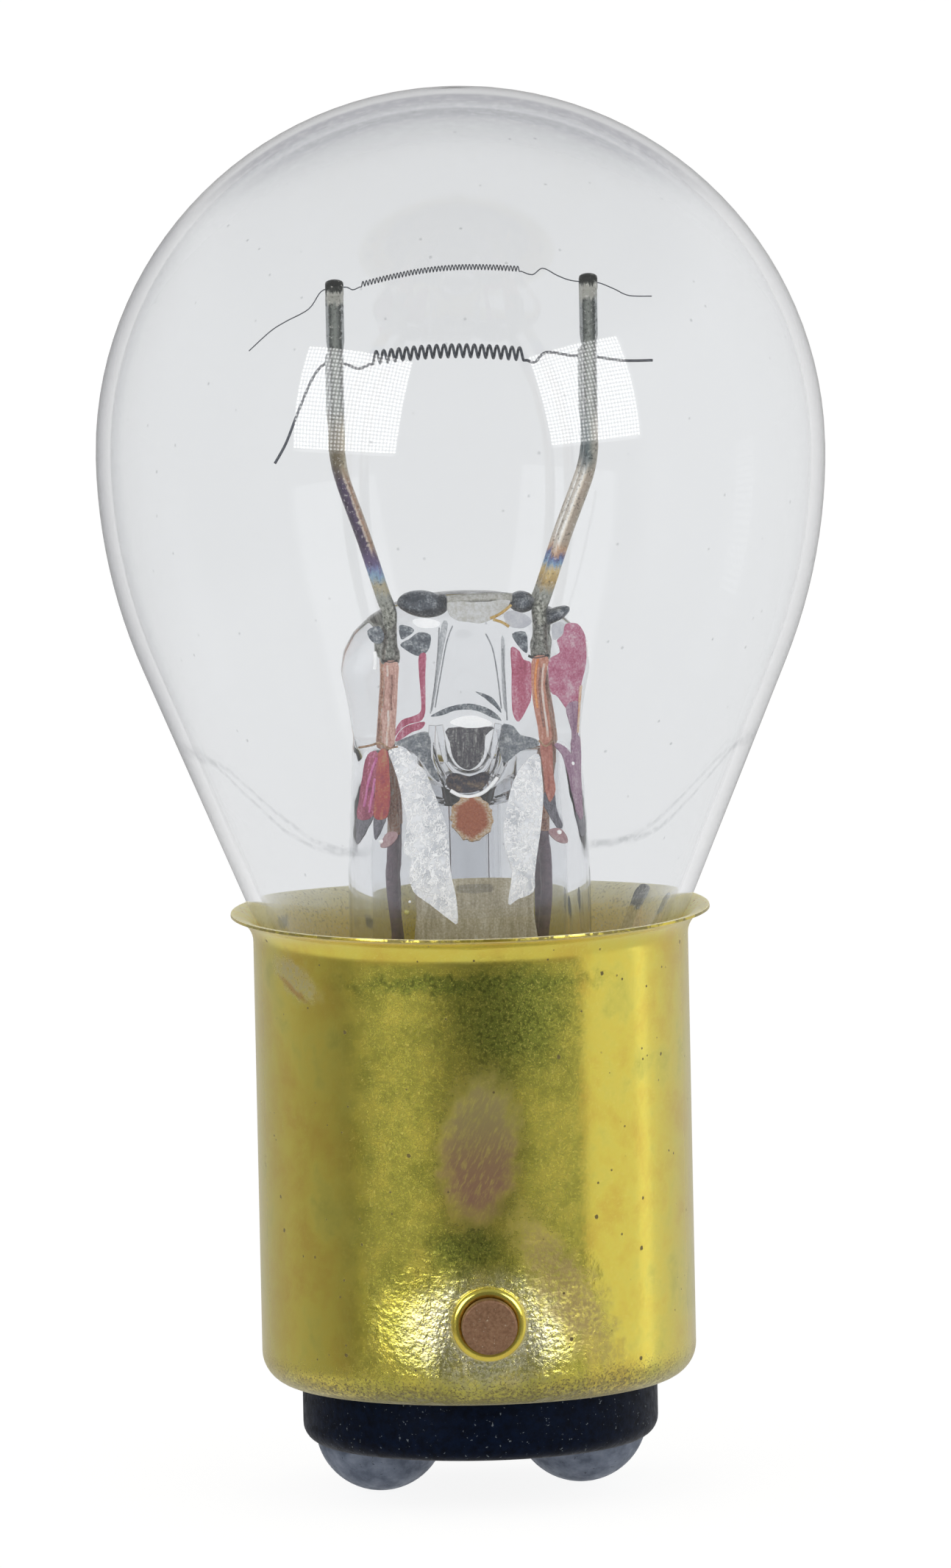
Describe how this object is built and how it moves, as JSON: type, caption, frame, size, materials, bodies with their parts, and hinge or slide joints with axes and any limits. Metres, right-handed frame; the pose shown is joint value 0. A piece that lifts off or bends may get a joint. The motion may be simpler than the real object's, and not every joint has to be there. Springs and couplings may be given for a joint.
{
  "type": "bayonet incandescent lamp",
  "caption": "Clear-glass lamp with two filaments on wire posts over a pressed glass stem, in a brass double-contact bayonet shell with offset side pins and solder contacts",
  "frame": {"origin": "On the lamp's axis, level with the centre of the low bayonet pin, where the lamp's holder grips it", "axes": "+Z runs along the lamp's axis from the contacts to the globe, -Y points out through the low pin, and the two contacts lie along X"},
  "size_m": [0.0254, 0.0254, 0.0492],
  "materials": {
    "clear_glass": "clear blown soda-lime glass, smooth, with fine dust",
    "stem_glass": "clear lead glass, fire-polished, with ripples from the press",
    "getter_paint": "orange-brown dab of getter paint, matte and grainy",
    "nickel_post": "drawn nickel wire, grey with heat tint, pitted near the top",
    "copper_seal": "borated copper-clad wire, salmon pink",
    "copper_lead": "copper wire dulled by heat",
    "tungsten": "dark grey drawn tungsten wire",
    "shell_brass": "bright drawn brass, speckled with tarnish",
    "pin_brass": "brass with a copper-brown worn face",
    "black_glass": "blue-black vitrite with pale specks of dirt",
    "eyelet_brass": "plain brass",
    "solder": "dull blue-grey solder, pitted",
    "cement": "tan basing cement, matte"
  },
  "bodies": {
    "root": {"envelope": "clear_glass", "stem": "stem_glass", "exhaust_tube": "stem_glass", "getter_dab": "getter_paint", "post_front_left": "nickel_post", "post_front_right": "nickel_post", "post_rear_left": "nickel_post", "post_rear_right": "nickel_post", "seal_front_left": "copper_seal", "seal_front_right": "copper_seal", "seal_rear_left": "copper_seal", "seal_rear_right": "copper_seal", "lead_contact_left": "copper_lead", "lead_contact_right": "copper_lead", "lead_ground_left": "copper_lead", "lead_ground_right": "copper_lead", "minor_filament": "tungsten", "major_filament": "tungsten", "base_shell": "shell_brass", "pin_low": "pin_brass", "pin_high": "pin_brass", "insulator": "black_glass", "eyelet_left": "eyelet_brass", "eyelet_right": "eyelet_brass", "contact_left": "solder", "contact_right": "solder", "basing_cement": "cement", "ground_solder": "solder", "ground_solder_small": "solder"}
  },
  "joints": []
}
